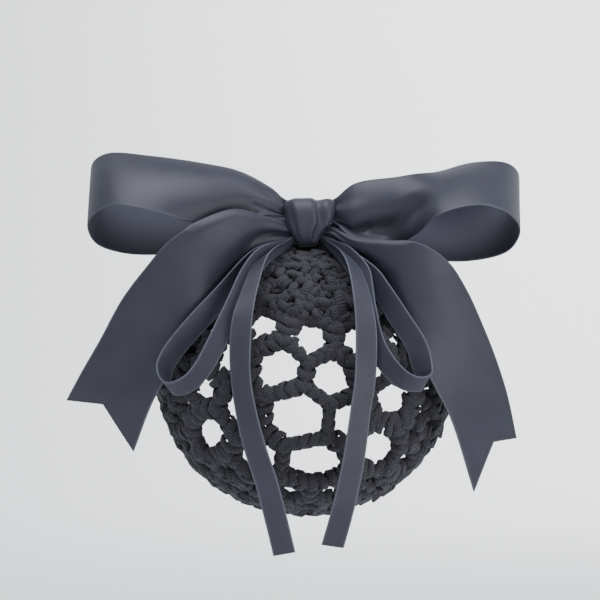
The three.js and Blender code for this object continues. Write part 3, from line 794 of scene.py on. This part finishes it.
def crossingPoint(holes):
    point = sum(hole[0] for hole in holes) / 3
    for _ in range(net["settleTurns"]):
        gaps = [edgeDistance(point, hole) for hole in holes]
        mean = sum(gaps) / 3
        for gap, hole in zip(gaps, holes):
            offset = point - hole[0]
            point = point + (mean - gap) * net["settleShare"] * offset / max(math.hypot(*offset), tiny)
    return point


def netStrands():  # round the openings, at the sides and close at the top: points, edges, widths
    holes = chartHoles()
    middles = [Vector(hole[0]) for hole in holes]
    faces = delaunay_2d_cdt(middles, [], [], 0, net["mergeWithin"])[2]
    crossings = []
    sides = {}
    for number, face in enumerate(faces):
        crossings.append(crossingPoint([holes[k] for k in face]))
        for a, b in zip(face, face[1:] + face[:1]):
            sides.setdefault(tuple(sorted((a, b))), []).append(number)
    edge = net["quarter"]
    strands = []
    for (a, b), pair in sorted(sides.items()):
        if len(pair) < 2:
            continue
        start, end = (crossings[k] for k in pair)
        if min(math.hypot(*start), math.hypot(*end)) > edge * net["startsWithin"]:
            continue
        start, end = (p * min(1, edge * net["endsWithin"] / math.hypot(*p)) for p in (start, end))
        middle = (start + end) / 2
        gap = edgeDistance(middle, holes[a]) + edgeDistance(middle, holes[b])
        spread = float(np.clip(gap / net["spreadAt"], net["leastSpread"], net["mostSpread"]))
        strands.append((start, end, net["strandPieces"], spread, min(a, b) >= len(netHoles)))
    dice = random.Random(net["seed"] + 1)
    for middle, shape in holes:
        if shape[0, 0] == 1 / net["smallHole"]:
            turn = dice.random() * math.pi
            reach = np.array([math.cos(turn), math.sin(turn)]) * net["lump"] / 2
            strands.append((middle - reach, middle + reach, 1, 1.0, True))
    parts = {"open": ([], [], []), "side": ([], [], []), "close": ([], [], [])}
    for start, end, pieces, spread, away in strands:
        part = "open"
        if away:
            part = "close" if foldUp((start + end) / 2, 0)[2] > net["denseAbove"] else "side"
        points, edges, spreads = parts[part]
        first = len(points)
        for k in range(pieces + 1):
            spot = start + (end - start) * k / pieces
            toRim = max(0, math.hypot(*spot) / edge - net["rimFrom"]) / (1 - net["rimFrom"])
            toRim *= np.clip(net["sinkBelow"] - spot[1] / edge, 0, 1)  # not under the knot
            points.append(foldUp(spot, net["sink"] + net["rimSink"] * toRim))
            spreads.append(spread)
            if k:
                edges.append((first + k - 1, first + k))
    return parts


# Stitches, along the strands of the net and round its rim
stitch = {
    "long": 3.2,
    "wide": 4.9,
    "high": 1.65,
    "dip": 0.3,
    "tape": 2.6,
    "thick": 1.05,
    "taper": 0.2,
    "taperPower": 3,
    "flat": 0.7,
    "bunch": 0.8,
    "lobeShift": 2,
    "from": -16,
    "to": 150,
    "steps": 7,
    "pitch": 2.75,
    "core": 1.65,
    "coreSides": 7,
    "coreStep": 1.6,
    "sizeSpread": 0.08,
    "tilt": 0.15,
    "turn": 0.9,
}
# The close crochet has larger folded lumps that turn every way
lumpStitch = dict(stitch, long=3.3, wide=5.2, high=2.9, thick=1.3, pitch=4.3, core=1.55)
lumpStitch.update(tilt=0.38, turn=4.0, sizeSpread=0.26)
sideStitch = dict(stitch, pitch=3.1, core=1.5, tilt=0.24, turn=2.0, sizeSpread=0.18)
rimStitch = dict(stitch, pitch=4.1, tilt=0.28, turn=1.6, sizeSpread=0.18)
rim = {
    "halfWide": 44.6,
    "halfTall": 42.2,
    "centreZ": -48.5,
    "y": 1.2,
    "points": 240,
    "size": (1.35, 1.1, 1.25),
}


def stitchShape(name, size, material):  # one stitch, two lobes of tape leaning apart over the strand
    steps = size["steps"]
    flat = size["flat"]
    section = [(1, 0), (flat, 1), (-flat, 1), (-1, 0), (-flat, -1), (flat, -1)]
    sides = len(section)
    t = np.linspace(0, 1, steps)
    turn = np.radians(size["from"] + (size["to"] - size["from"]) * t)
    path = np.stack([
        size["long"] * (t ** size["bunch"] - 0.5),
        size["wide"] / 2 * np.sin(turn),
        size["high"] * np.cos(turn) - size["dip"],
    ], axis=1)
    forward = unitRows(np.gradient(path, axis=0))
    out = path * np.array([0, 1 / size["wide"] ** 2 * 4, 1 / size["high"] ** 2])
    side = unitRows(np.cross(out, forward))
    up = np.cross(forward, side)
    taper = 1 - size["taper"] * np.abs(2 * t - 1) ** size["taperPower"]
    reach = reachAlong(path)
    points, uvs, faces = [], [], []
    for mirror in (1, -1):
        first = len(points)
        for i in range(steps):
            for k, (alongSide, alongUp) in enumerate(section):
                across = side[i] * alongSide * size["tape"] / 2 * taper[i]
                thick = up[i] * alongUp * size["thick"] / 2 * taper[i]
                points.append((path[i] + across + thick) * (1, mirror, 1))
                uvs.append((reach[i] + (size["lobeShift"] if mirror < 0 else 0), k))
        faces += [tuple(first + n for n in quad) for quad in ringFaces(steps, sides)]
        faces.append([first + k for k in range(sides)])
        faces.append([first + (steps - 1) * sides + k for k in range(sides)])
    return newPiece(name, points, faces, material, "tapeUv", uvs)


# Inputs of the stitch tree
treeSockets = {
    "Object": ["Stitch"],
    "Material": ["Yarn", "Core yarn"],
    "Vector": ["Size", "Centre", "Half sizes"],
    "Int": ["Seed"],
    "Float": ["Pitch", "Size spread", "Tilt", "Turn", "Core", "Core step"],
}


def resampled(tree, curve, step):
    settings = {"Curve": curve, "Length": step}
    return addNode(tree, "GeometryNodeResampleCurve", settings, mode="LENGTH").outputs[0]


def dressed(tree, geometry, material):
    return addNode(tree, "GeometryNodeSetMaterial", {0: geometry, "Material": material}).outputs[0]


def stitchTree(name):
    tree = bpy.data.node_groups.new(name, "GeometryNodeTree")
    sockets = tree.interface
    sockets.new_socket("Geometry", in_out="INPUT", socket_type="NodeSocketGeometry")
    for kind, labels in treeSockets.items():
        for label in labels:
            sockets.new_socket(label, in_out="INPUT", socket_type="NodeSocket" + kind)
    sockets.new_socket("Geometry", in_out="OUTPUT", socket_type="NodeSocketGeometry")
    given = tree.nodes.new("NodeGroupInput").outputs
    curve = addNode(tree, "GeometryNodeMeshToCurve", {"Mesh": given["Geometry"]}).outputs[0]
    paced = resampled(tree, curve, given["Pitch"])

    # each stitch follows the strand, with its back to the middle of the bowl
    place = addNode(tree, "GeometryNodeInputPosition").outputs[0]
    forward = addNode(tree, "GeometryNodeInputTangent").outputs[0]
    offset = addVectorMath(tree, "SUBTRACT", place, given["Centre"])
    inward = addVectorMath(tree, "DIVIDE", offset, given["Half sizes"])
    out = addVectorMath(tree, "DIVIDE", inward, given["Half sizes"])
    axes = {"primary_axis": "X", "secondary_axis": "Z"}
    facing = addNode(tree, "FunctionNodeAxesToRotation", {0: forward, 1: out}, **axes).outputs[0]

    # a random lean and size for each
    least = addMath(tree, "MULTIPLY", given["Tilt"], -1.0)
    low = addVector(tree, least, least, least)
    high = addVector(tree, given["Tilt"], given["Tilt"], given["Tilt"])
    leanSpan = {0: low, 1: high, "Seed": given["Seed"]}
    lean = addNode(tree, "FunctionNodeRandomValue", leanSpan, data_type="FLOAT_VECTOR").outputs[0]
    leanTurned = addVectorMath(tree, "MULTIPLY", lean, addVector(tree, 1.0, 1.0, given["Turn"]))
    leaning = addNode(tree, "FunctionNodeEulerToRotation", {0: leanTurned}).outputs[0]
    both = {0: facing, 1: leaning}
    turned = addNode(tree, "FunctionNodeRotateRotation", both, rotation_space="LOCAL").outputs[0]
    smallest = addMath(tree, "SUBTRACT", 1.0, given["Size spread"])
    largest = addMath(tree, "ADD", 1.0, given["Size spread"])
    sizeSpan = {2: smallest, 3: largest, "Seed": addMath(tree, "ADD", given["Seed"], 1.0)}
    grown = addNode(tree, "FunctionNodeRandomValue", sizeSpan, data_type="FLOAT").outputs[1]
    named = addNode(tree, "GeometryNodeInputNamedAttribute", {0: "spread"}, data_type="FLOAT")
    spread = named.outputs[0]
    sized = addVectorMath(tree, "MULTIPLY", given["Size"], addVector(tree, 1.0, spread, 1.0))
    scale = addNode(tree, "ShaderNodeVectorMath", {0: sized, "Scale": grown}, operation="SCALE").outputs[0]
    shape = addNode(tree, "GeometryNodeObjectInfo", {0: given["Stitch"], 1: True}).outputs["Geometry"]
    seats = {"Points": paced, "Instance": shape, "Rotation": turned, "Scale": scale}
    placed = addNode(tree, "GeometryNodeInstanceOnPoints", seats).outputs[0]

    # a core inside the stitches, in darker yarn that paints shade into the gaps between them
    section = {"Resolution": stitch["coreSides"], "Radius": given["Core"]}
    ring = addNode(tree, "GeometryNodeCurvePrimitiveCircle", section).outputs[0]
    coarse = resampled(tree, curve, given["Core step"])
    rounded = addNode(tree, "GeometryNodeSetCurveRadius", {"Curve": coarse, "Radius": spread}).outputs[0]
    tube = {"Curve": rounded, "Profile Curve": ring, "Fill Caps": True}
    cores = addNode(tree, "GeometryNodeCurveToMesh", tube).outputs[0]
    real = addNode(tree, "GeometryNodeRealizeInstances", {0: placed}).outputs[0]
    joined = addNode(tree, "GeometryNodeJoinGeometry")
    tree.links.new(dressed(tree, cores, given["Core yarn"]), joined.inputs[0])
    tree.links.new(dressed(tree, real, given["Yarn"]), joined.inputs[0])
    addNode(tree, "NodeGroupOutput", {0: joined.outputs[0]})
    return tree


def growStitches(name, points, edges, spreads, tree, values):
    mesh = newMesh(name + "Path", points, edges, [])
    mesh.attributes.new("spread", "FLOAT", "POINT").data.foreach_set("value", spreads)
    path = addObject(name + "Path", mesh)
    modifier = path.modifiers.new("stitches", "NODES")
    modifier.node_group = tree
    for item in tree.interface.items_tree:
        if item.in_out == "INPUT" and item.name in values:
            modifier[item.identifier] = values[item.name]
    bpy.context.view_layer.update()
    evaluated = path.evaluated_get(bpy.context.evaluated_depsgraph_get())
    plain = bpy.data.meshes.new_from_object(evaluated)
    plain.shade_smooth()
    piece = addObject(name, plain)
    bpy.data.objects.remove(path)
    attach(piece, "root")
    return piece


def stitchValues(size, shape, seed, material, coreMaterial):
    return {
        "Stitch": shape,
        "Pitch": size["pitch"] * mm,
        "Size": (1.0, 1.0, 1.0),
        "Size spread": size["sizeSpread"],
        "Tilt": size["tilt"],
        "Turn": size["turn"],
        "Seed": seed,
        "Centre": tuple(v * mm for v in net["centre"]),
        "Half sizes": tuple(v * mm for v in net["half"]),
        "Core": size["core"] * mm,
        "Core step": size["coreStep"] * mm,
        "Yarn": material,
        "Core yarn": coreMaterial,
    }


def netPieces(material, coreMaterial):
    tree = stitchTree("crochet")
    shape = stitchShape("stitch", stitch, material)
    lump = stitchShape("lumpStitch", lumpStitch, material)
    parts = netStrands()
    pieces = []
    seeds = net["crochetSeeds"]
    for part, name, size, source in (
        ("open", "net_stitches", stitch, shape),
        ("side", "net_side_stitches", sideStitch, shape),
        ("close", "net_close_stitches", lumpStitch, lump),
    ):
        values = stitchValues(size, source, seeds[part], material, coreMaterial)
        pieces.append(growStitches(name, *parts[part], tree, values))
    turns = np.linspace(0, 2 * math.pi, rim["points"], endpoint=False)
    ring = np.stack([
        net["centre"][0] + rim["halfWide"] * np.cos(turns),
        np.full(len(turns), rim["y"]),
        rim["centreZ"] + rim["halfTall"] * np.sin(turns),
    ], axis=1)
    ringEdges = [(k, (k + 1) % len(turns)) for k in range(len(turns))]
    values = stitchValues(rimStitch, shape, seeds["rim"], material, coreMaterial)
    values["Size"] = rim["size"]
    edge = growStitches("net_rim", ring, ringEdges, np.ones(len(turns)), tree, values)
    for source in (shape, lump):
        bpy.data.objects.remove(source)
    return pieces, edge


# Clip: one closed hoop, a bowed plate in front and an arm behind
clip = {
    "length": 70.0,
    "height": 8.0,
    "plate": 1.2,
    "arm": 1.4,
    "bend": 110.0,
    "gap": 8.2,
    "endRound": 2.0,
    "endWall": 1.5,
    "endPower": 40,
    "leastWall": 0.02,
    "squareness": 4,
    "bevel": 0.3,
    "stations": 60,
}
steelLook = {
    "colour": (0.42, 0.43, 0.45, 1),
    "metal": 1.0,
    "roughness": 0.34,
    "brushScale": (40, 4000, 4000),
    "bump": 0.25,
    "bumpDistance": 0.00002,
}


def steelMaterial(name, look):
    material, tree, shader = newMaterial(name, look)
    place = addNode(tree, "ShaderNodeTexCoord").outputs["Object"]
    brushed = addNoise(tree, addScaled(tree, place, look["brushScale"]), scale=1, detail=3)
    bump = addBump(tree, brushed, look["bump"], look["bumpDistance"])
    tree.links.new(bump, shader["Normal"])
    return material


def clipPiece(material):
    half = clip["length"] / 2
    inner = half - clip["endRound"] - clip["endWall"]
    share = np.sin(np.linspace(-math.pi / 2, math.pi / 2, clip["stations"]))
    outX, inX = share * half, share * inner
    rise = [clip["bend"] - np.sqrt(clip["bend"] ** 2 - x ** 2) for x in (outX, inX)]
    hollow = [
        clip["gap"] * np.maximum(0, 1 - np.abs(x / (half - clip["endRound"])) ** clip["squareness"])
        for x in (outX, inX)
    ]
    blunt = np.sqrt(np.maximum(clip["leastWall"], 1 - np.abs(share) ** clip["endPower"]))
    front = np.stack([outX, rise[0] - clip["plate"] * blunt, inX, rise[1]], axis=1)
    back = np.stack([outX, rise[0] + hollow[0] + clip["arm"] * blunt, inX, rise[1] + hollow[1]], axis=1)
    stations = np.concatenate([front, back[::-1]])
    z, b = clip["height"] / 2, clip["bevel"]
    # corners of its section: step inwards, height, and whether from the inner line
    corners = [
        (0, z - b, False), (b, z, False), (-b, z, True), (0, z - b, True),
        (0, b - z, True), (-b, -z, True), (b, -z, False), (0, b - z, False),
    ]
    points = []
    for outerX, outerY, innerX, innerY in stations:
        outer, within = np.array([outerX, outerY]), np.array([innerX, innerY])
        step = (within - outer) / max(np.linalg.norm(within - outer), tiny)
        for shift, height, fromInner in corners:
            flat = within if fromInner else outer
            points.append((*(flat + step * shift), height))
    faces = ringFaces(len(stations), len(corners), closed=True)
    piece = newPiece("clip_hoop", points, faces, material)
    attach(piece, "root")
    return piece


# Backdrop and lights
stage = {
    "floorZ": -150.0,
    "wallY": 950.0,
    "bend": 420.0,
    "bendSteps": 12,
    "half": 1800.0,
    "front": -1500.0,
    "top": 1500.0,
}
paperLook = {"colour": (0.86, 0.87, 0.88, 1), "roughness": 0.9}
room = {"colour": (0.9, 0.92, 0.95, 1), "strength": 0.4}


def makeStage():
    profile = [(stage["front"], stage["floorZ"])]
    for k in range(stage["bendSteps"] + 1):
        angle = k / stage["bendSteps"] * math.pi / 2
        y = stage["wallY"] - stage["bend"] + stage["bend"] * math.sin(angle)
        profile.append((y, stage["floorZ"] + stage["bend"] * (1 - math.cos(angle))))
    profile.append((stage["wallY"], stage["top"]))
    points = [(side * stage["half"], y, z) for y, z in profile for side in (-1, 1)]
    faces = [(2 * k, 2 * k + 1, 2 * k + 3, 2 * k + 2) for k in range(len(profile) - 1)]
    material = newMaterial("paper", paperLook)[0]
    mesh = newMesh("sweep", points, [], faces)
    mesh.shade_smooth()
    mesh.materials.append(material)
    addObject("sweep", mesh)


# each light: name, place, what it points at, size across, power in watts, colour
lights = [
    ("key", (-100, -260, 800), (0, 0, -35), 620, 13.2, (0.93, 0.96, 1.0)),
    ("side", (560, -160, 480), (30, 0, -35), 480, 2.2, (0.93, 0.96, 1.0)),
    ("front", (-380, -760, -60), (0, 0, -20), 500, 0.5, (0.97, 0.98, 1.0)),
    ("fill", (640, -680, -90), (20, 0, -55), 700, 9.3, (1.0, 0.97, 0.95)),
    ("wall", (260, 480, 420), (260, 980, 170), 600, 7.5, (0.98, 0.99, 1.0)),
]


def makeLights():
    for name, place, aim, size, power, colour in lights:
        data = bpy.data.lights.new(name, "AREA")
        data.size = size * mm
        data.energy = power
        data.color = colour
        light = addObject(name, data)
        light.location = Vector(place) * mm
        light.rotation_euler = (Vector(aim) - Vector(place)).to_track_quat("-Z", "Y").to_euler()
    world = bpy.data.worlds.new("room")
    world.use_nodes = True
    background = world.node_tree.nodes["Background"]
    background.inputs["Color"].default_value = room["colour"]
    background.inputs["Strength"].default_value = room["strength"]
    bpy.context.scene.world = world


makeCamera()
makeStage()
makeLights()
print("stage ready")

satin = satinMaterial("satin", satinLook)
narrowSatin = satinMaterial("narrowSatin", narrowSatinLook)
yarn = yarnMaterial("netYarn", yarnLook)
coreShadeYarn = yarnMaterial("netCoreShadeYarn", coreShadeLook)
print("materials ready")

tailNotch = {"deep": 6.0, "across": 3 / 7}
ribbons = {
    "wide_loop_left": wideLoopLeft,
    "wide_loop_right": wideLoopRight,
    "wide_tail_left": wideTailLeft,
    "wide_tail_right": wideTailRight,
    "narrow_loop_left": narrowLoopLeft,
    "narrow_loop_right": narrowLoopRight,
    "narrow_tail_left": narrowTailLeft,
    "narrow_tail_right": narrowTailRight,
}
for name, rows in ribbons.items():
    wide = name.startswith("wide")
    loop = "loop" in name
    ribbon = wideRibbon if wide else narrowRibbon
    notch = tailNotch if wide and not loop else None
    rows = rows if wide else [(*row, 0) for row in rows]  # a narrow ribbon lies flat
    look = satin if wide else narrowSatin
    folds = ribbonFolds.get(name, ())
    piece, long, path = ribbonPiece(name + "_satin", rows, ribbon, look, folds, notch, loop)
    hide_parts(name)
    print(name, "length", round(long, 1))

wrap, long = knotPiece(satin)
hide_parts("knot")
hoop = clipPiece(steelMaterial("brushedSteel", steelLook))
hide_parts("hair_clip")
print("knot and clip ready")

netParts, netRim = netPieces(yarn, coreShadeYarn)
for piece in netParts:
    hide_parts("net")
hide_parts("net_edge")
for piece in netParts + [netRim]:
    print(piece.name, len(piece.data.polygons), "faces")
